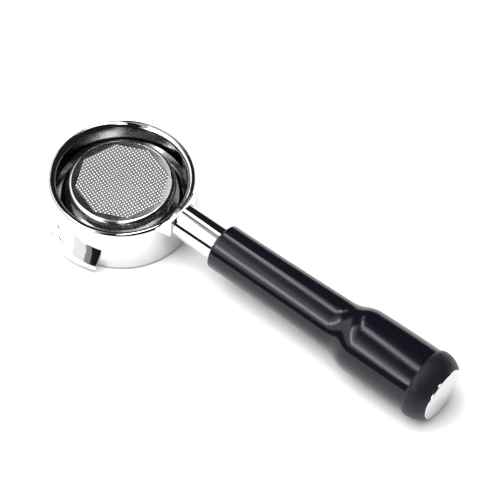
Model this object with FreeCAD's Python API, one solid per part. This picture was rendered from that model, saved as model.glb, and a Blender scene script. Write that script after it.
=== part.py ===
"""Open-bottom filter holder for a lever-type espresso group, with its filter basket and handle.

The holder lies the way it is put down on a bench: the basket's flange is at the bottom, on Z = 0,
and the open side of the ring faces up. The origin is on the ring's axis at the basket's mouth.
The handle runs along +X, and the two bayonet lugs are at -Y and +Y. Sizes are in millimetres.
"""
import FreeCAD, Part
import math
import os

V = FreeCAD.Vector
AXIS_X, AXIS_Y, AXIS_Z = V(1, 0, 0), V(0, 1, 0), V(0, 0, 1)

# ---- ring of the holder ----
ring_outer_r = 36.4
ring_height = 27.8            # lip above the bench, basket flange included
lip_round_r = 1.4             # outer edge of the lip
lip_bevel_width = 2.4         # inner bevel of the lip, across
lip_bevel_drop = 1.7          # inner bevel of the lip, down
bore_taper_low = 13.5         # the narrow seat bore ends here
bore_taper_high = 16.5        # the wide open bore starts here
rim_chamfer = 0.6

# ---- filter basket ----
basket_mouth_r = 29.2         # takes a 58 mm tamper
basket_wall = 0.8
basket_flange_width = 5.0     # beyond the straight wall
basket_flange_thickness = 1.0
basket_height = 24.3
basket_straight = 10.5        # depth of the straight wall
basket_taper = 3.0            # the wall draws in by this much on its way to the floor's corner
basket_corner_r = 2.6
basket_floor_thickness = 0.4
basket_fit = 0.5              # radial clearance of the basket in its seat bore
hole_d = 0.9
hole_pitch = 1.57
hole_field_margin = 3.1       # flat rim between the field of holes and the floor's corner
hole_field_turn = -19.6       # degrees from +X

# ---- wire spring that holds the basket ----
spring_wire_d = 1.2
spring_show = 0.1             # how far the wire stands into the bore
spring_height = 8.0
spring_gap_angle = 26.0
groove_clearance = 0.25

# ---- bayonet lugs ----
lug_reach = 5.3               # beyond the ring's wall
lug_half_angle = 21.0
lug_bottom = 3.4
lug_low_face = 7.0            # height of the bearing face at its low end
lug_high_face = 9.6           # and at its high end
lug_edge = 0.5
runout_r = 4.0                # cutter run-out on the wall, beside the high end
runout_rise = 2.8             # its centre above the bearing face
runout_depth = 0.45

# ---- neck boss and ferrule ----
axis_below_lip = 1.9          # handle axis below the lip, measured on the ring's axis
boss_step = 0.7               # the boss is wider than the ferrule by this much a side
boss_flat = 0.9               # its flat top lies below the ferrule's top by this much
boss_reach = 2.3              # beyond the ring's wall, along the handle axis
boss_flare_angle = 31.0       # where the flare runs out on the ring's wall
boss_lip_slope = 0.28         # the boss leans back from the lip by this much per mm of height
ferrule_r = 8.9
ferrule_length = 23.2
ferrule_edge = 0.3
ferrule_washer_thickness = 0.8
ferrule_washer_lip = 0.7

# ---- grip: distances from its front end, and radii ----
grip_length = 121.0
grip_front_r = 11.95
grip_front_round = 1.1
grip_middle_at = 26.3
grip_middle_r = 12.17
grip_waist_start_at = 54.6
grip_waist_start_r = 12.65
grip_waist_end_at = 70.8
grip_waist_end_r = 13.0
grip_shoulder_at = 86.6
grip_shoulder_r = 16.8
grip_shoulder_ease = 0.48     # how long the swell stays level at its ends, as a share of its run
grip_bulb_at = 108.3
grip_bulb_r = 17.1
grip_end_r = 17.05

# ---- end ring and cap ----
end_ring_length = 11.5
end_ring_stand = 0.85         # the end ring is larger than the grip by this much
end_ring_shoulder = 3.9       # its back face is smaller than its largest radius by this much
cap_lip = 0.25                # its lip round the cap
cap_sink = 0.6                # the cap is let in by this much
cap_edge = 1.2
cap_dome = 1.3
cap_shank_r = 5.0
cap_shank = 6.0
rest_gap = 0.02               # the end ring stands this far off the bench

# ---- handle hardware ----
stud_r = 5.0
stud_in_boss = 5.3
stud_past_nut = 4.7
bore_clearance = 0.25
bush_wall = 2.35
bush_length = 12.0
pocket_depth = 34.2           # of the grip's rear pocket
wrench_clearance = 0.96       # round the nut's corners, in the pocket
washer_clearance = 1.2
washer_thickness = 1.6
spring_washer_width = 2.55
spring_washer_thickness = 2.2
nut_wall = 3.0                # from the thread to the flats
nut_height = 8.0
end_screw_r = 2.5
end_screw_head_r = 4.25
end_screw_head = 3.0
end_screw_grip = 11.0         # length of thread in the stud
end_web = 3.0                 # floor of the end ring, under the screw's head
end_web_gap = 0.3             # between the stud's end and the end ring
pin_r = 1.2
pin_half = 2.5
oring_wire_r = 0.8
thread_pitch = 1.5
thread_depth = 0.55

# ---- sizes that follow ----
basket_outer_r = basket_mouth_r + basket_wall
basket_flange_r = basket_outer_r + basket_flange_width
basket_floor_r = basket_outer_r - basket_taper
hole_field_r = basket_floor_r - basket_corner_r - hole_field_margin
seat_bore_r = basket_outer_r + basket_fit
lip_r = ring_outer_r - lip_round_r
open_bore_r = lip_r - lip_bevel_width
ring_bottom = basket_flange_thickness
lug_outer_r = ring_outer_r + lug_reach
handle_axis_height = ring_height - axis_below_lip
boss_half_width = ferrule_r + boss_step
boss_top = ferrule_r - boss_flat
boss_end = ring_outer_r + boss_reach
ferrule_end = boss_end + ferrule_length
grip_start = ferrule_end + ferrule_washer_thickness
grip_end = grip_start + grip_length
end_ring_r = grip_end_r + end_ring_stand
end_ring_lip_r = end_ring_r - end_ring_shoulder
end_ring_peak = grip_end + 3.1
end_ring_back = grip_end + end_ring_length
cap_seat = end_ring_back - cap_sink
cap_r = end_ring_lip_r - cap_lip
handle_droop = math.asin((handle_axis_height - end_ring_r - rest_gap) / end_ring_peak)
stud_hole_r = stud_r + bore_clearance
stud_start = boss_end - stud_in_boss
bush_r = stud_hole_r + bush_wall
nut_corner_r = (stud_r + nut_wall) * 2 / math.sqrt(3)
pocket_r = nut_corner_r + wrench_clearance
clamp_seat = grip_end - pocket_depth
washer_r = pocket_r - washer_clearance
washer_end = clamp_seat + washer_thickness
spring_washer_r = stud_hole_r + spring_washer_width
spring_washer_end = washer_end + spring_washer_thickness
nut_end = spring_washer_end + nut_height
stud_end = nut_end + stud_past_nut
end_web_front = stud_end + end_web_gap
end_web_back = end_web_front + end_web
pin_offset = (stud_hole_r + ferrule_r) / 2
cap_shank_hole_r = cap_shank_r + 0.1


def revolve(points_and_arcs, axis=AXIS_Z):
    """Turn a closed outline of (r, h) points about an axis; a 3-tuple (r, h, bulge point) is an arc."""
    place = (lambda r, h: V(-r, 0, h)) if axis == AXIS_Z else (lambda r, h: V(h, 0, r))
    edges = []
    first = points_and_arcs[0]
    last = first
    for item in points_and_arcs[1:] + [first[:2]]:
        start = place(*last[:2])
        end = place(*item[:2])
        if len(item) == 3:
            edges.append(Part.Arc(start, place(*item[2]), end).toShape())
        elif start.distanceToPoint(end) > 1e-7:
            edges.append(Part.makeLine(start, end))
        last = item
    face = Part.Face(Part.Wire(edges))
    return Part.Solid(face.revolve(V(0, 0, 0), axis, 360))


def arc_mid(centre, radius, degrees):
    """A point on a circle of the (r, h) plane, for the middle of an arc."""
    angle = math.radians(degrees)
    return (centre[0] + radius * math.cos(angle), centre[1] + radius * math.sin(angle))


def tube(outer_r, inner_r, start, end):
    """A plain tube along +X."""
    outer = Part.makeCylinder(outer_r, end - start, V(start, 0, 0), AXIS_X)
    return outer.cut(Part.makeCylinder(inner_r, end - start, V(start, 0, 0), AXIS_X))


def on_handle(shape):
    """Move a shape drawn along +X onto the handle's drooping axis."""
    placed = shape.copy()
    placed.rotate(V(0, 0, 0), AXIS_Y, math.degrees(handle_droop))
    placed.translate(V(0, 0, handle_axis_height))
    return placed


def lug_face_height(x):
    """Height of the bearing face of the -Y lug at a distance x along it."""
    half_run = lug_outer_r * math.sin(math.radians(lug_half_angle))
    middle = (lug_low_face + lug_high_face) / 2
    return middle - (lug_high_face - lug_low_face) / 2 * x / half_run


def above_lug_face(y_near, y_far):
    """A wedge of space over the -Y lug's sloping bearing face."""
    reach = lug_outer_r
    corners = [V(-reach, y_near, lug_face_height(-reach)), V(reach, y_near, lug_face_height(reach)),
               V(reach, y_near, ring_height), V(-reach, y_near, ring_height)]
    face = Part.Face(Part.makePolygon(corners + corners[:1]))
    return face.extrude(V(0, y_far - y_near, 0))


def lug():
    """One bayonet lug, at -Y: a sector with a sloping bearing face on its upper side."""
    block = Part.makeCylinder(lug_outer_r, lug_high_face + 2 - lug_bottom, V(0, 0, lug_bottom), AXIS_Z,
                              2 * lug_half_angle)
    block.rotate(V(0, 0, 0), AXIS_Z, -90 - lug_half_angle)
    core = Part.makeCylinder(ring_outer_r - 1.5, ring_height)
    block = block.cut(core).cut(above_lug_face(-lug_outer_r - 1, 0))
    outer_edges = [e for e in block.Edges
                   if all(math.hypot(v.Point.x, v.Point.y) > lug_outer_r - 0.01 for v in e.Vertexes)]
    return block.makeFillet(lug_edge, outer_edges)


def lug_runout():
    """The shallow half-round flat that the cutter leaves on the wall at the lug's high end."""
    angle = math.radians(-90 - lug_half_angle + 5.5)
    outward = V(math.cos(angle), math.sin(angle), 0)
    x = ring_outer_r * math.cos(angle)
    start = outward * (ring_outer_r - runout_depth)
    disc = Part.makeCylinder(runout_r, 6, V(start.x, start.y, lug_face_height(x) + runout_rise), outward)
    return disc.common(above_lug_face(-lug_outer_r - 6, 0))


def half_turn(shape):
    """The same feature on the other side of the ring."""
    turned = shape.copy()
    turned.rotate(V(0, 0, 0), AXIS_Z, 180)
    return turned


def boss_plan():
    """The boss seen from above: narrow at its end, flared out to the ring's wall."""
    wall_r = ring_outer_r - 0.1
    toward = V(math.cos(math.radians(boss_flare_angle)), math.sin(math.radians(boss_flare_angle)), 0)
    corner = V(boss_end + 2, boss_half_width, 0)
    on_end = V(boss_end, boss_half_width, 0)
    reach = on_end.dot(toward)
    flare_r = (wall_r ** 2 - 2 * wall_r * reach + on_end.dot(on_end)) / (2 * (reach - wall_r))
    centre = toward * (wall_r + flare_r)
    on_wall = toward * wall_r
    middle = (on_wall + on_end) * 0.5 - centre
    bulge = centre + middle * (flare_r / middle.Length)
    inner = V(ring_outer_r - 8, on_wall.y, 0)
    mirrored = [V(p.x, -p.y, 0) for p in (corner, on_end, bulge, on_wall, inner)]
    edges = [Part.makeLine(corner, on_end), Part.Arc(on_end, bulge, on_wall).toShape(),
             Part.makeLine(on_wall, inner), Part.makeLine(inner, mirrored[4]),
             Part.makeLine(mirrored[4], mirrored[3]),
             Part.Arc(mirrored[3], mirrored[2], mirrored[1]).toShape(),
             Part.makeLine(mirrored[1], mirrored[0]), Part.makeLine(mirrored[0], corner)]
    return Part.Face(Part.Wire(edges)).extrude(V(0, 0, ring_height + 20))


def boss_section():
    """The boss seen along the handle: flat on top, round underneath, with leaning sides between."""
    side = ring_outer_r * math.sin(math.radians(boss_flare_angle)) + 1
    distance = math.hypot(side, boss_top)
    tangent = math.atan2(boss_top, side) - math.acos(boss_half_width / distance)
    start = ring_outer_r - 10
    low = V(start, boss_half_width * math.cos(tangent), boss_half_width * math.sin(tangent))
    high = V(start, side, boss_top)
    low_mirrored = V(start, -low.y, low.z)
    high_mirrored = V(start, -high.y, high.z)
    edges = [Part.makeLine(low, high), Part.makeLine(high, high_mirrored),
             Part.makeLine(high_mirrored, low_mirrored),
             Part.Arc(low_mirrored, V(start, 0, -boss_half_width), low).toShape()]
    return Part.Face(Part.Wire(edges)).extrude(V(boss_end - start, 0, 0))


def boss():
    """The neck boss, turned back clear of the ring's lip."""
    lip_start = ring_height - lip_round_r
    top = ring_height + 8
    turned_back = revolve([(0, lip_start), (ring_outer_r, lip_start),
                           (ring_outer_r + boss_lip_slope * (top - lip_start), top), (0, top)])
    return boss_plan().common(on_handle(boss_section())).cut(turned_back)


def filter_holder_body():
    """Ring, lugs and boss: one forging, turned inside, chromed."""
    round_centre = (lip_r, ring_height - lip_round_r)
    solid_wall = revolve([(0, ring_bottom), (ring_outer_r - rim_chamfer, ring_bottom),
                          (ring_outer_r, ring_bottom + rim_chamfer),
                          (ring_outer_r, ring_height - lip_round_r),
                          (lip_r, ring_height, arc_mid(round_centre, lip_round_r, 45)),
                          (0, ring_height)])
    bevel_middle = (lip_r - lip_bevel_width * 0.62, ring_height - lip_bevel_drop * 0.36)
    hollow = revolve([(0, ring_bottom - 1), (seat_bore_r + rim_chamfer, ring_bottom - 1),
                      (seat_bore_r + rim_chamfer, ring_bottom), (seat_bore_r, ring_bottom + rim_chamfer),
                      (seat_bore_r, bore_taper_low), (open_bore_r, bore_taper_high),
                      (open_bore_r, ring_height - lip_bevel_drop), (lip_r, ring_height, bevel_middle),
                      (lip_r, ring_height + 20), (0, ring_height + 20)])
    groove_half = spring_wire_d / 2 + groove_clearance
    groove_r = seat_bore_r - spring_show + spring_wire_d + groove_clearance
    groove = Part.makeCylinder(groove_r, 2 * groove_half, V(0, 0, spring_height - groove_half))
    body = solid_wall.fuse(boss()).removeSplitter()
    body = body.fuse(lug()).fuse(half_turn(lug()))
    body = body.cut(hollow).cut(groove)
    body = body.cut(lug_runout()).cut(half_turn(lug_runout()))
    tapped = Part.makeCylinder(stud_r, boss_end - stud_start + 2, V(stud_start, 0, 0), AXIS_X)
    body = body.cut(on_handle(tapped))
    return body.cut(on_handle(pin_solid(bore_clearance)))


def basket_holes():
    """Centres of the holes: a square grid, cut off on eight sides."""
    rows = int(hole_field_r / hole_pitch) + 2
    turn = math.radians(hole_field_turn)
    for row in range(-rows, rows):
        for column in range(-rows, rows):
            u = (column + 0.5) * hole_pitch
            w = (row + 0.5) * hole_pitch
            corner = (abs(u) + abs(w)) / math.sqrt(2)
            if max(abs(u), abs(w), corner) <= hole_field_r:
                yield (u * math.cos(turn) - w * math.sin(turn), u * math.sin(turn) + w * math.cos(turn))


def filter_basket():
    """Deep-drawn stainless cup with a flange and a punched floor."""
    floor_z = basket_height
    corner_centre = (basket_floor_r - basket_corner_r, floor_z - basket_corner_r)
    inner_corner_r = basket_corner_r - basket_floor_thickness
    inner_floor_r = corner_centre[0] + inner_corner_r
    cup = revolve([(0, floor_z), (corner_centre[0], floor_z),
                   (basket_floor_r, corner_centre[1], arc_mid(corner_centre, basket_corner_r, 45)),
                   (basket_outer_r, basket_straight), (basket_outer_r, basket_flange_thickness),
                   (basket_flange_r, basket_flange_thickness), (basket_flange_r, 0.25),
                   (basket_flange_r - 0.25, 0), (basket_mouth_r + 0.6, 0),
                   (basket_mouth_r, 0.6, arc_mid((basket_mouth_r + 0.6, 0.6), 0.6, 225)),
                   (basket_mouth_r, basket_straight), (inner_floor_r, corner_centre[1]),
                   (corner_centre[0], floor_z - basket_floor_thickness,
                    arc_mid(corner_centre, inner_corner_r, 45)),
                   (0, floor_z - basket_floor_thickness)])
    punches = [Part.makeCylinder(hole_d / 2, 3, V(x, y, floor_z - 2)) for x, y in basket_holes()]
    return cup.cut(Part.makeCompound(punches))


def basket_spring():
    """Open ring of spring wire that lies in the ring's groove."""
    centre_r = seat_bore_r - spring_show + spring_wire_d / 2
    start = math.radians(spring_gap_angle / 2 + 90)
    path = Part.makeCircle(centre_r, V(0, 0, spring_height), AXIS_Z, 90 + spring_gap_angle / 2,
                           450 - spring_gap_angle / 2)
    begin = V(centre_r * math.cos(start), centre_r * math.sin(start), spring_height)
    section = Part.Wire(Part.makeCircle(spring_wire_d / 2, begin, V(-math.sin(start), math.cos(start), 0)))
    return Part.Wire(path).makePipeShell([section], True, False)


def neck_ferrule():
    """Chromed sleeve between the boss and the grip, clamped by the stud."""
    sleeve = tube(ferrule_r, stud_hole_r, boss_end, ferrule_end)
    rims = [e for e in sleeve.Edges
            if e.BoundBox.YLength > 2 * ferrule_r - 0.1 and e.BoundBox.XLength < 0.1]
    sleeve = sleeve.makeChamfer(ferrule_edge, rims)
    return on_handle(sleeve.cut(pin_solid(bore_clearance)))


def pin_solid(clearance=0.0):
    """The locating pin's body, or the hole that takes it."""
    extra = 0.5 if clearance else 0.0
    reach = pin_half + extra
    return Part.makeCylinder(pin_r + clearance / 4, 2 * reach, V(boss_end - reach, 0, -pin_offset), AXIS_X)


def locating_pin():
    """Dowel that stops the ferrule turning on the boss."""
    return on_handle(pin_solid())


def ferrule_washer():
    """Thin black washer between the ferrule and the grip."""
    return on_handle(tube(ferrule_r + ferrule_washer_lip, stud_hole_r, ferrule_end, grip_start))


def threaded(length_start, length_end, radius):
    """A round bar with turned grooves that stand for its thread."""
    outline = [(0, length_start), (radius - thread_depth, length_start)]
    turns = int((length_end - length_start) / thread_pitch)
    for turn in range(turns):
        middle = length_start + (turn + 0.5) * thread_pitch
        outline.append((radius, middle))
        outline.append((radius - thread_depth, middle + thread_pitch / 2))
    outline += [(radius - thread_depth, length_end), (0, length_end)]
    return revolve(outline, AXIS_X)


def handle_stud():
    """Steel stud: threaded at both ends, screwed into the boss, tapped at its free end."""
    rear_thread = clamp_seat - 3
    shank = Part.makeCylinder(stud_r - 0.05, rear_thread - boss_end - 2, V(boss_end + 2, 0, 0), AXIS_X)
    bar = threaded(stud_start + 0.5, boss_end + 2, stud_r).fuse(shank)
    bar = bar.fuse(threaded(rear_thread, stud_end, stud_r))
    screw_hole = Part.makeCylinder(end_screw_r, end_screw_grip + 1, V(stud_end - end_screw_grip - 1, 0, 0),
                                   AXIS_X)
    return on_handle(bar.cut(screw_hole))


def smooth_edge(stations):
    """A smooth curve through (distance along the handle, radius) stations."""
    curve = Part.BSplineCurve()
    curve.interpolate([V(distance, 0, radius) for distance, radius in stations])
    return curve.toShape()


def grip_outline():
    """Outer profile of the grip, front to back: three curves, tangent where they meet."""
    waist = V(grip_start + grip_waist_end_at, 0, grip_waist_end_r)
    shoulder = V(grip_start + grip_shoulder_at, 0, grip_shoulder_r)
    front = smooth_edge([(grip_start + grip_front_round, grip_front_r),
                         (grip_start + grip_middle_at, grip_middle_r),
                         (grip_start + grip_waist_start_at, grip_waist_start_r),
                         (waist.x, waist.z)])
    bulb = smooth_edge([(shoulder.x, shoulder.z), (grip_start + grip_bulb_at, grip_bulb_r),
                        (grip_end, grip_end_r)])
    ease = (shoulder.x - waist.x) * grip_shoulder_ease
    swell = Part.BezierCurve()
    swell.setPoles([waist, waist + front.tangentAt(front.LastParameter) * ease,
                    shoulder - bulb.tangentAt(bulb.FirstParameter) * ease, shoulder])
    return [front, swell.toShape(), bulb]


def handle_grip():
    """Moulded black grip: slim in front, waisted, with a bulb for the palm."""
    front = V(grip_start, 0, grip_front_r - grip_front_round)
    corner_centre = V(grip_start + grip_front_round, 0, grip_front_r - grip_front_round)
    corner_middle = corner_centre + V(-1, 0, 1) * (grip_front_round / math.sqrt(2))
    edges = [Part.makeLine(V(grip_start, 0, 0), front),
             Part.Arc(front, corner_middle, V(grip_start + grip_front_round, 0, grip_front_r)).toShape(),
             *grip_outline(),
             Part.makeLine(V(grip_end, 0, grip_end_r), V(grip_end, 0, 0)),
             Part.makeLine(V(grip_end, 0, 0), V(grip_start, 0, 0))]
    body = Part.Solid(Part.Face(Part.Wire(edges)).revolve(V(0, 0, 0), AXIS_X, 360))
    through = Part.makeCylinder(stud_hole_r, grip_end - grip_start + 2, V(grip_start - 1, 0, 0),
                                AXIS_X)
    bush_seat = Part.makeCylinder(bush_r, bush_length, V(grip_start, 0, 0), AXIS_X)
    pocket = Part.makeCylinder(pocket_r, grip_end - clamp_seat + 1, V(clamp_seat, 0, 0), AXIS_X)
    return on_handle(body.cut(through).cut(bush_seat).cut(pocket))


def grip_front_bush():
    """Brass bush moulded into the front of the grip, which centres it on the stud."""
    return on_handle(tube(bush_r, stud_hole_r, grip_start, grip_start + bush_length))


def clamp_washer():
    """Plain washer on the floor of the rear pocket."""
    return on_handle(tube(washer_r, stud_hole_r, clamp_seat, washer_end))


def spring_washer():
    """Split spring washer, flattened by the nut."""
    ring = tube(spring_washer_r, stud_hole_r, washer_end, spring_washer_end)
    split = Part.makeBox(spring_washer_thickness * 3, 1.2, spring_washer_r + 2,
                         V(washer_end - spring_washer_thickness, -0.6, 0))
    split.rotate(V((washer_end + spring_washer_end) / 2, 0, 0), AXIS_Z, 25)
    return on_handle(ring.cut(split))


def clamp_nut():
    """Hexagon nut that pulls grip, ferrule and boss together."""
    corners = [V(spring_washer_end, nut_corner_r * math.cos(math.radians(60 * k)),
                 nut_corner_r * math.sin(math.radians(60 * k))) for k in range(7)]
    prism = Part.Face(Part.makePolygon(corners)).extrude(V(nut_height, 0, 0))
    cone_r = nut_corner_r - 0.5
    rounding = revolve([(0, spring_washer_end), (cone_r, spring_washer_end),
                        (nut_corner_r + 0.1, spring_washer_end + 0.7), (nut_corner_r + 0.1, nut_end - 0.7),
                        (cone_r, nut_end), (0, nut_end)], AXIS_X)
    bore = Part.makeCylinder(stud_r, nut_height, V(spring_washer_end, 0, 0), AXIS_X)
    return on_handle(prism.common(rounding).cut(bore))


def handle_end_ring():
    """Satin black end ring with a rounded shoulder and a spigot that centres it in the pocket."""
    spigot_r = pocket_r - 0.1
    screw_clear_r = end_screw_r + 0.25
    outline = [(screw_clear_r, end_web_front), (spigot_r, end_web_front), (spigot_r, grip_end),
               (end_ring_r - 0.8, grip_end),
               (end_ring_r, end_ring_peak, (end_ring_r - 0.22, grip_end + 1.2)),
               (end_ring_r - 1.65, grip_end + 8.75, (end_ring_r - 0.45, grip_end + 6.0)),
               (end_ring_lip_r, end_ring_back, (end_ring_r - 2.4, grip_end + 10.0)),
               (cap_r + 0.05, end_ring_back), (cap_r + 0.05, cap_seat), (cap_shank_hole_r, cap_seat),
               (cap_shank_hole_r, end_web_back), (screw_clear_r, end_web_back)]
    return on_handle(revolve(outline, AXIS_X))


def end_ring_screw():
    """Socket-head screw that holds the end ring to the stud."""
    head_back = end_web_back + end_screw_head
    body = Part.makeCylinder(end_screw_r, end_web_back - (stud_end - end_screw_grip),
                             V(stud_end - end_screw_grip, 0, 0), AXIS_X)
    head = Part.makeCylinder(end_screw_head_r, end_screw_head, V(end_web_back, 0, 0), AXIS_X)
    socket_r = end_screw_r * 0.92
    corners = [V(head_back - 2.0, socket_r * math.cos(math.radians(60 * k)),
                 socket_r * math.sin(math.radians(60 * k))) for k in range(7)]
    socket = Part.Face(Part.makePolygon(corners)).extrude(V(3, 0, 0))
    return on_handle(body.fuse(head).removeSplitter().cut(socket))


def shank_start():
    """Front end of the cap's shank."""
    return cap_seat - cap_shank


def oring_station():
    """Middle of the O-ring's groove in the cap's shank."""
    return shank_start() + cap_shank * 0.45


def oring_solid(minor_r, station, major_r):
    """A torus round the handle axis."""
    return Part.makeTorus(major_r, minor_r, V(station, 0, 0), AXIS_X)


def end_cap():
    """Chromed, slightly domed end disc with a shank."""
    crown = cap_seat + cap_edge + cap_dome
    dome_edge_r = cap_r - 0.3
    dome_r = (dome_edge_r ** 2 + cap_dome ** 2) / (2 * cap_dome)
    bulge = arc_mid((0, crown - dome_r), dome_r, 90 - math.degrees(math.asin(dome_edge_r / dome_r)) / 2)
    outline = [(0, shank_start()), (cap_shank_r - 0.3, shank_start()), (cap_shank_r, shank_start() + 0.3),
               (cap_shank_r, cap_seat), (cap_r, cap_seat), (cap_r, cap_seat + cap_edge - 0.3),
               (dome_edge_r, cap_seat + cap_edge), (0, crown, bulge)]
    body = revolve(outline, AXIS_X)
    groove_floor = cap_shank_hole_r - 2 * oring_wire_r
    width = 2 * oring_wire_r + 0.2
    groove = tube(cap_shank_r + 1, groove_floor, oring_station() - width / 2, oring_station() + width / 2)
    return on_handle(body.cut(groove))


def cap_o_ring():
    """Rubber ring that grips the cap's shank in the end ring's well."""
    return on_handle(oring_solid(oring_wire_r, oring_station(), cap_shank_hole_r - oring_wire_r))


PARTS = {
    "filter_holder_body": filter_holder_body,
    "filter_basket": filter_basket,
    "basket_spring": basket_spring,
    "neck_ferrule": neck_ferrule,
    "locating_pin": locating_pin,
    "ferrule_washer": ferrule_washer,
    "handle_stud": handle_stud,
    "handle_grip": handle_grip,
    "grip_front_bush": grip_front_bush,
    "clamp_washer": clamp_washer,
    "spring_washer": spring_washer,
    "clamp_nut": clamp_nut,
    "handle_end_ring": handle_end_ring,
    "end_ring_screw": end_ring_screw,
    "end_cap": end_cap,
    "cap_o_ring": cap_o_ring,
}

os.makedirs("parts", exist_ok=True)
for name, make in PARTS.items():
    solid = make()
    if not solid.isValid() or len(solid.Solids) != 1:
        print("CHECK", name, "valid", solid.isValid(), "solids", len(solid.Solids))
    solid.exportStep("parts/" + name + ".step")
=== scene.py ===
"""Open-bottomed filter holder for an espresso machine, lying face down on a white bench."""
import math

import bpy
from mathutils import Matrix, Vector

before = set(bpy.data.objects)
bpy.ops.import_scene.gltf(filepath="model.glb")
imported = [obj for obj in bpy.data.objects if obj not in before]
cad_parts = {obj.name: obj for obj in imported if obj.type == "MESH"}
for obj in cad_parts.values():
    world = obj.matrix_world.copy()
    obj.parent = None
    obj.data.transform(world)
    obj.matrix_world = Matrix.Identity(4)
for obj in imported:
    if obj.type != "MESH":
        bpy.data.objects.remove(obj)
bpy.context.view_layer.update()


# ---- Ring, lugs and neck boss ----
# One forging, chromed all over. It is polished outside and on the lip, and only turned and
# satin-plated in the bore, where the basket and the coffee go. There its colour is painted darker, as
# shade.

bore_mouth_r = 0.0326            # radius of the wide bore, at the foot of the lip's bevel
bore_edge = 0.00003              # satin turns to polish over this much on either side of it
plating = (0.60, 0.605, 0.615, 1)
# the bore's plating colour is darker than the outside's: painted shade in the recess
bore_plating_with_shade = (0.575, 0.565, 0.555, 1)


def new_material(name):
    """An empty material with its nodes, its links and its Principled shader."""
    material = bpy.data.materials.new(name)
    material.use_nodes = True
    nodes = material.node_tree.nodes
    return material, nodes, material.node_tree.links, nodes["Principled BSDF"]


def add_node(nodes, kind, values=None, **settings):
    """A shader node with its settings, and the values of its inputs that nothing is linked to."""
    node = nodes.new("ShaderNode" + kind)
    for setting, value in settings.items():
        setattr(node, setting, value)
    for socket, value in (values or {}).items():
        node.inputs[socket].default_value = value
    return node


def add_group(name, inputs, outputs):
    """A shader node group with number sockets of the given names, and its two end nodes."""
    group = bpy.data.node_groups.new(name, "ShaderNodeTree")
    for socket, value in inputs:
        made = group.interface.new_socket(socket, in_out="INPUT", socket_type="NodeSocketFloat")
        made.default_value = value
    for socket in outputs:
        group.interface.new_socket(socket, in_out="OUTPUT", socket_type="NodeSocketFloat")
    start = group.nodes.new("NodeGroupInput")
    end = group.nodes.new("NodeGroupOutput")
    return group.nodes, group.links, start, end


def use_group(nodes, name, values=None):
    """A finished node group placed in a material, with that material's own values."""
    return add_node(nodes, "Group", values, node_tree=bpy.data.node_groups[name])


def axis_distance(nodes, links):
    """A point's distance from the ring's axis, and its height above the bench."""
    place = add_node(nodes, "TexCoord")
    parts = add_node(nodes, "SeparateXYZ")
    flat = add_node(nodes, "CombineXYZ")
    radius = add_node(nodes, "VectorMath", operation="LENGTH")
    links.new(place.outputs["Object"], parts.inputs["Vector"])
    links.new(parts.outputs["X"], flat.inputs["X"])
    links.new(parts.outputs["Y"], flat.inputs["Y"])
    links.new(flat.outputs["Vector"], radius.inputs[0])
    return radius.outputs["Value"], parts.outputs["Z"]


def surface_variation():
    """Fine unevenness of a finished surface: a mask that lifts the roughness, and a height for a bump."""
    nodes, links, start, end = add_group(
        "surface variation",
        [("Smear Scale", 60.0), ("Smear Low", 0.45), ("Smear High", 0.75), ("Grain Scale", 2500.0)],
        ["Smear", "Grain"])
    place = add_node(nodes, "TexCoord")
    smear = add_node(nodes, "TexNoise", {"Detail": 5.0, "Roughness": 0.62})
    spread = add_node(nodes, "MapRange", interpolation_type="SMOOTHSTEP")
    grain = add_node(nodes, "TexNoise", {"Detail": 2.0})
    links.new(place.outputs["Object"], smear.inputs["Vector"])
    links.new(place.outputs["Object"], grain.inputs["Vector"])
    links.new(start.outputs["Smear Scale"], smear.inputs["Scale"])
    links.new(start.outputs["Grain Scale"], grain.inputs["Scale"])
    links.new(smear.outputs["Fac"], spread.inputs["Value"])
    links.new(start.outputs["Smear Low"], spread.inputs["From Min"])
    links.new(start.outputs["Smear High"], spread.inputs["From Max"])
    links.new(spread.outputs["Result"], end.inputs["Smear"])
    links.new(grain.outputs["Fac"], end.inputs["Grain"])


def turned_rings():
    """Fine tool marks that run round the ring's axis, as a height."""
    nodes, links, start, end = add_group(
        "turned rings", [("Rings Per Metre", 4000.0), ("Along Axis", 1.0)], ["Height"])
    radius, height = axis_distance(nodes, links)
    tall = add_node(nodes, "Math", operation="MULTIPLY")
    both = add_node(nodes, "Math", operation="ADD")
    scaled = add_node(nodes, "Math", operation="MULTIPLY")
    marks = add_node(nodes, "TexNoise", {"Scale": 1.0, "Detail": 4.0}, noise_dimensions="1D")
    links.new(height, tall.inputs[0])
    links.new(start.outputs["Along Axis"], tall.inputs[1])
    links.new(radius, both.inputs[0])
    links.new(tall.outputs["Value"], both.inputs[1])
    links.new(both.outputs["Value"], scaled.inputs[0])
    links.new(start.outputs["Rings Per Metre"], scaled.inputs[1])
    links.new(scaled.outputs["Value"], marks.inputs["W"])
    links.new(marks.outputs["Fac"], end.inputs["Height"])


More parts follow.
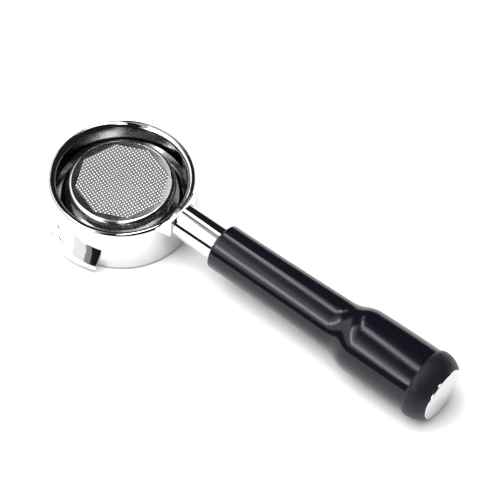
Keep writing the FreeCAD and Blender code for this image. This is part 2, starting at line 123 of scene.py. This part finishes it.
def chrome(name, satin_shaded_bore=False):
    """Polished chrome; asked for, it is satin inside the ring's bore, with its colour there painted
    darker as shade.
    """
    material, nodes, links, shader = new_material(name)
    shader.inputs["Metallic"].default_value = 1.0
    shader.inputs["Base Color"].default_value = plating
    variation = use_group(nodes, "surface variation", {"Smear Scale": 45.0})
    polish = add_node(nodes, "MapRange", {"To Min": 0.035, "To Max": 0.075})
    bump = add_node(nodes, "Bump", {"Strength": 0.02, "Distance": 0.00002})
    links.new(variation.outputs["Smear"], polish.inputs["Value"])
    links.new(variation.outputs["Grain"], bump.inputs["Height"])
    if not satin_shaded_bore:
        links.new(polish.outputs["Result"], shader.inputs["Roughness"])
        links.new(bump.outputs["Normal"], shader.inputs["Normal"])
        return material
    radius = axis_distance(nodes, links)[0]
    inside = add_node(nodes, "MapRange",
                      {"From Min": bore_mouth_r + bore_edge, "From Max": bore_mouth_r - bore_edge})
    rings = use_group(nodes, "turned rings", {"Rings Per Metre": 1400.0})
    satin = add_node(nodes, "MapRange", {"To Min": 0.09, "To Max": 0.14})
    rough = add_node(nodes, "Mix")
    # inside the bore the colour turns darker: painted shade
    tint = add_node(nodes, "Mix", {"A": plating, "B": bore_plating_with_shade}, data_type="RGBA")
    turned = add_node(nodes, "Bump", {"Distance": 0.000004})
    links.new(radius, inside.inputs["Value"])
    links.new(rings.outputs["Height"], satin.inputs["Value"])
    links.new(inside.outputs["Result"], rough.inputs["Factor"])
    links.new(polish.outputs["Result"], rough.inputs["A"])
    links.new(satin.outputs["Result"], rough.inputs["B"])
    links.new(inside.outputs["Result"], tint.inputs["Factor"])
    links.new(inside.outputs["Result"], turned.inputs["Strength"])
    links.new(rings.outputs["Height"], turned.inputs["Height"])
    links.new(bump.outputs["Normal"], turned.inputs["Normal"])
    links.new(rough.outputs["Result"], shader.inputs["Roughness"])
    links.new(tint.outputs["Result"], shader.inputs["Base Color"])
    links.new(turned.outputs["Normal"], shader.inputs["Normal"])
    return material


def finish_node(node, material):
    """Give a CAD piece its finished material."""
    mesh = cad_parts[node].data
    mesh.materials.clear()
    mesh.materials.append(material)


surface_variation()
turned_rings()
finish_node("filter_holder_body", chrome("chromed ring", satin_shaded_bore=True))


# ---- Filter basket ----
# Deep-drawn from thin stainless sheet and satin finished, with a flange that hangs on the ring.
# The floor is punched with a square grid of round holes, in a field with eight sides. In that field
# painted shade darkens each hole and its rim, and a painted highlight brightens the land between.

# The basket's steel is coloured darker than bare steel: painted shade down in the ring's bore.
basket_steel_with_shade = (0.62, 0.615, 0.61, 1)
painted_land_highlight = (0.97, 0.97, 0.96, 1)      # painted highlight on the land between four holes
hole_shadow = (0.02, 0.02, 0.02, 1)     # painted shade over a hole and the raised rim round it
hole_rim_start = 0.42                   # in pitches from a hole's centre
hole_rim_end = 0.57


def hole_rims_and_painted_light():
    """The rims that the punch raises: a height of 1 at a hole and 0 on the land, and the field's mask.
    The height also sets where the painted shade and the painted highlight fall.
    """
    nodes, links, start, end = add_group(
        "hole rims and painted light",
        [("Pitch", 0.00157), ("Turn", 0.342), ("Floor", 0.0242), ("Field Size", 0.0215)],
        ["Height", "Field"])
    place = add_node(nodes, "TexCoord")
    turned = add_node(nodes, "VectorRotate", rotation_type="Z_AXIS")
    pitches = add_node(nodes, "CombineXYZ")
    cells = add_node(nodes, "VectorMath", operation="DIVIDE")
    in_cell = add_node(nodes, "VectorMath", operation="FRACTION")
    centred = add_node(nodes, "VectorMath", {1: (0.5, 0.5, 0)}, operation="SUBTRACT")
    flat = add_node(nodes, "VectorMath", {1: (1, 1, 0)}, operation="MULTIPLY")
    away = add_node(nodes, "VectorMath", operation="LENGTH")
    raised = add_node(nodes, "MapRange", {"From Min": hole_rim_end, "From Max": hole_rim_start},
                      interpolation_type="SMOOTHSTEP")
    parts = add_node(nodes, "SeparateXYZ")
    on_floor = add_node(nodes, "Math", operation="GREATER_THAN")
    sizes = add_node(nodes, "VectorMath", operation="ABSOLUTE")
    across = add_node(nodes, "SeparateXYZ")
    square = add_node(nodes, "Math", operation="MAXIMUM")
    total = add_node(nodes, "Math", operation="ADD")
    diagonal = add_node(nodes, "Math", {1: math.sqrt(0.5)}, operation="MULTIPLY")
    eight_sided = add_node(nodes, "Math", operation="MAXIMUM")
    within = add_node(nodes, "Math", operation="LESS_THAN")
    field = add_node(nodes, "Math", operation="MULTIPLY")
    links.new(place.outputs["Object"], turned.inputs["Vector"])
    links.new(start.outputs["Turn"], turned.inputs["Angle"])
    for axis in "XYZ":
        links.new(start.outputs["Pitch"], pitches.inputs[axis])
    links.new(turned.outputs["Vector"], cells.inputs[0])
    links.new(pitches.outputs["Vector"], cells.inputs[1])
    links.new(cells.outputs["Vector"], in_cell.inputs[0])
    links.new(in_cell.outputs["Vector"], centred.inputs[0])
    links.new(centred.outputs["Vector"], flat.inputs[0])
    links.new(flat.outputs["Vector"], away.inputs[0])
    links.new(away.outputs["Value"], raised.inputs["Value"])
    links.new(place.outputs["Object"], parts.inputs["Vector"])
    links.new(parts.outputs["Z"], on_floor.inputs[0])
    links.new(start.outputs["Floor"], on_floor.inputs[1])
    links.new(turned.outputs["Vector"], sizes.inputs[0])
    links.new(sizes.outputs["Vector"], across.inputs["Vector"])
    for side in (square, total):
        links.new(across.outputs["X"], side.inputs[0])
        links.new(across.outputs["Y"], side.inputs[1])
    links.new(total.outputs["Value"], diagonal.inputs[0])
    links.new(square.outputs["Value"], eight_sided.inputs[0])
    links.new(diagonal.outputs["Value"], eight_sided.inputs[1])
    links.new(eight_sided.outputs["Value"], within.inputs[0])
    links.new(start.outputs["Field Size"], within.inputs[1])
    links.new(on_floor.outputs["Value"], field.inputs[0])
    links.new(within.outputs["Value"], field.inputs[1])
    links.new(raised.outputs["Result"], end.inputs["Height"])
    links.new(field.outputs["Value"], end.inputs["Field"])


def turned_metal(name, low, high, colour, punched=False):
    """Satin metal with faint marks round the ring's axis; punched adds the field of holes,
    with painted shade at each hole and its rim and a painted highlight on the land between.
    """
    material, nodes, links, shader = new_material(name)
    shader.inputs["Metallic"].default_value = 1.0
    shader.inputs["Base Color"].default_value = colour
    variation = use_group(nodes, "surface variation", {"Smear Scale": 90.0})
    rings = use_group(nodes, "turned rings", {"Rings Per Metre": 900.0})
    rough = add_node(nodes, "MapRange", {"To Min": low, "To Max": high})
    bump = add_node(nodes, "Bump", {"Strength": 0.3, "Distance": 0.000008})
    links.new(variation.outputs["Smear"], rough.inputs["Value"])
    links.new(rings.outputs["Height"], bump.inputs["Height"])
    links.new(rough.outputs["Result"], shader.inputs["Roughness"])
    if not punched:
        links.new(bump.outputs["Normal"], shader.inputs["Normal"])
        return material
    # In the field the metal turns mostly non-metallic and matt, and its colour is painted: shade at each
    # hole and its rim, a highlight on the land between.
    holes = use_group(nodes, "hole rims and painted light")
    dimple = add_node(nodes, "Bump", {"Distance": 0.00012})
    matt = add_node(nodes, "Mix", {"B": 0.5})
    shade = add_node(nodes, "Mix", {"A": painted_land_highlight, "B": hole_shadow}, data_type="RGBA")
    tint = add_node(nodes, "Mix", {"A": colour}, data_type="RGBA")
    skin = add_node(nodes, "MapRange", {"To Min": 1.0, "To Max": 0.2})
    links.new(holes.outputs["Height"], shade.inputs["Factor"])
    links.new(shade.outputs["Result"], tint.inputs["B"])
    links.new(holes.outputs["Field"], skin.inputs["Value"])
    links.new(skin.outputs["Result"], shader.inputs["Metallic"])
    links.new(holes.outputs["Field"], matt.inputs["Factor"])
    links.new(rough.outputs["Result"], matt.inputs["A"])
    links.new(matt.outputs["Result"], shader.inputs["Roughness"])
    links.new(holes.outputs["Field"], tint.inputs["Factor"])
    links.new(tint.outputs["Result"], shader.inputs["Base Color"])
    links.new(holes.outputs["Field"], dimple.inputs["Strength"])
    links.new(holes.outputs["Height"], dimple.inputs["Height"])
    links.new(bump.outputs["Normal"], dimple.inputs["Normal"])
    links.new(dimple.outputs["Normal"], shader.inputs["Normal"])
    return material


hole_rims_and_painted_light()
finish_node("filter_basket", turned_metal("satin basket steel", 0.12, 0.17, basket_steel_with_shade, punched=True))


# ---- Basket spring and handle hardware ----
# The wire spring lies in the ring's groove. The stud, pin, washers, nut and screw are plain
# machined steel, hidden in the handle.

machined = turned_metal("machined steel", 0.28, 0.42, (0.56, 0.56, 0.56, 1))
for steel_piece in ("basket_spring", "locating_pin", "handle_stud", "clamp_washer", "spring_washer",
                    "clamp_nut", "end_ring_screw"):
    finish_node(steel_piece, machined)


# ---- Grip bush ----
# A turned brass sleeve in the grip's front end. It fits round the stud and keeps the grip in
# line with the ferrule.

finish_node("grip_front_bush", turned_metal("turned brass", 0.22, 0.34, (0.72, 0.53, 0.24, 1)))


# ---- Neck ferrule and end cap ----
# Turned steel, polished and chromed. The ferrule is a plain sleeve, clamped between the boss and
# the grip, and the cap is a slightly domed disc that presses into the end ring.

bright = chrome("polished chrome")
finish_node("neck_ferrule", bright)
finish_node("end_cap", bright)


# ---- Grip ----
# Moulded black resin, buffed to a gloss that is a little uneven, as on a handled grip. The stud
# and its nut clamp it against the ferrule.

grip_black = (0.004, 0.004, 0.0075, 1)


def black_moulding(name, low, high, colour, shine, grain):
    """A black moulded or pressed surface, with uneven gloss and a fine grain."""
    material, nodes, links, shader = new_material(name)
    shader.inputs["Base Color"].default_value = colour
    shader.inputs["IOR"].default_value = 1.5
    shader.inputs["Specular IOR Level"].default_value = shine
    shader.inputs["Specular Tint"].default_value = (0.96, 0.94, 1.0, 1)
    variation = use_group(nodes, "surface variation", {"Smear Scale": 38.0, "Grain Scale": 3200.0})
    rough = add_node(nodes, "MapRange", {"To Min": low, "To Max": high})
    bump = add_node(nodes, "Bump", {"Strength": grain, "Distance": 0.00002})
    links.new(variation.outputs["Smear"], rough.inputs["Value"])
    links.new(variation.outputs["Grain"], bump.inputs["Height"])
    links.new(rough.outputs["Result"], shader.inputs["Roughness"])
    links.new(bump.outputs["Normal"], shader.inputs["Normal"])
    return material


finish_node("handle_grip",
            black_moulding("glossy black resin", 0.13, 0.19, grip_black, shine=0.33, grain=0.15))


# ---- End ring, washer and O-ring ----
# The end ring is black plastic with a satin skin, held by a screw in the stud's end. The washer
# is pressed fibre, and the O-ring that grips the cap is rubber.

end_ring_black = (0.0095, 0.0095, 0.0135, 1)
soft_black = (0.015, 0.015, 0.015, 1)
finish_node("handle_end_ring",
            black_moulding("satin black plastic", 0.42, 0.5, end_ring_black, shine=0.22, grain=0.5))
finish_node("ferrule_washer", black_moulding("black fibre", 0.5, 0.65, soft_black, shine=0.4, grain=0.8))
finish_node("cap_o_ring", black_moulding("black rubber", 0.45, 0.6, soft_black, shine=0.4, grain=0.5))


# ---- Bench, light and camera ----
# A matt white bench under soft lights: a box and a bright tube overhead, and a box, two panels and
# a bright tube at the left. The gaps between them are the dark bands in the chrome. A wide sun
# lights the bench and the matt surfaces, and isn't mirrored in any piece.

view_turn = math.radians(36.55)         # where the viewer stands, about the ring's axis
viewer_right = Vector((math.cos(view_turn), math.sin(view_turn), 0))
viewer_ahead = Vector((-math.sin(view_turn), math.cos(view_turn), 0))
bpy.ops.object.select_all(action="DESELECT")
bpy.ops.mesh.primitive_plane_add(size=6.0, location=(0, 0, 0))
bench = bpy.context.object
bench.name = "bench"
bench_white, nodes, links, shader = new_material("bench white")
shader.inputs["Base Color"].default_value = (0.92, 0.92, 0.92, 1)
shader.inputs["Roughness"].default_value = 0.6
shader.inputs["Specular IOR Level"].default_value = 0.2
bench.data.materials.append(bench_white)


def softbox(name, across, along, height, width, length, brightness, turn=0.0):
    """A rectangular soft light facing the bench; across and along are as the viewer stands."""
    data = bpy.data.lights.new(name, "AREA")
    data.shape = "RECTANGLE"
    data.size = width
    data.size_y = length
    data.energy = brightness * math.pi * width * length
    light = bpy.data.objects.new(name, data)
    bpy.context.scene.collection.objects.link(light)
    place = Matrix.Translation(viewer_right * across + viewer_ahead * along + Vector((0, 0, height)))
    facing = Matrix((viewer_right, viewer_ahead, Vector((0, 0, 1)))).transposed().to_4x4()
    light.matrix_world = place @ facing @ Matrix.Rotation(math.radians(turn), 4, "Z")
    light.visible_camera = False


softbox("overhead box", 0.04, 0.20, 0.58, width=0.10, length=1.2, brightness=2.1, turn=-4.0)
softbox("overhead tube", 0.03, 0.05, 0.575, width=0.05, length=0.5, brightness=7.0, turn=-4.0)
softbox("left box", -0.92, 0.0, 0.59, width=1.0, length=2.0, brightness=1.7)
softbox("left glow", -0.50, -0.42, 0.585, width=0.42, length=1.4, brightness=0.6, turn=-25.0)
softbox("left panel", -0.51, -0.48, 0.58, width=0.26, length=1.4, brightness=1.6, turn=-25.0)
softbox("left tube", -0.58, -0.52, 0.57, width=0.11, length=1.4, brightness=7.0, turn=-25.0)

fill_data = bpy.data.lights.new("fill", "SUN")
fill_data.energy = 3.4
fill_data.angle = math.radians(70)
fill = bpy.data.objects.new("fill", fill_data)
bpy.context.scene.collection.objects.link(fill)
fill.visible_glossy = False

world = bpy.data.worlds.new("studio")
bpy.context.scene.world = world
world.use_nodes = True
sky = world.node_tree.nodes["Background"]
sky.inputs["Color"].default_value = (1.0, 1.0, 1.0, 1)
sky.inputs["Strength"].default_value = 0.02

camera_place = (0.5917, -0.6905, 1.1927)
camera_rise = math.radians(53.42)       # above the bench
camera_roll = math.radians(1.743)
camera_data = bpy.data.cameras.new("camera")
camera_data.lens = 216.0
camera_data.sensor_width = 36.0
camera_data.clip_start = 0.05
camera_data.clip_end = 50.0
camera = bpy.data.objects.new("camera", camera_data)
bpy.context.scene.collection.objects.link(camera)
back = Vector((math.sin(view_turn) * math.cos(camera_rise),
               -math.cos(view_turn) * math.cos(camera_rise),
               math.sin(camera_rise)))
upright = back.cross(viewer_right)
right = viewer_right * math.cos(camera_roll) + upright * math.sin(camera_roll)
up = upright * math.cos(camera_roll) - viewer_right * math.sin(camera_roll)
axes = Matrix((right, up, back)).transposed().to_4x4()
camera.matrix_world = Matrix.Translation(camera_place) @ axes
bpy.context.scene.camera = camera
bpy.context.scene.view_settings.view_transform = "Standard"
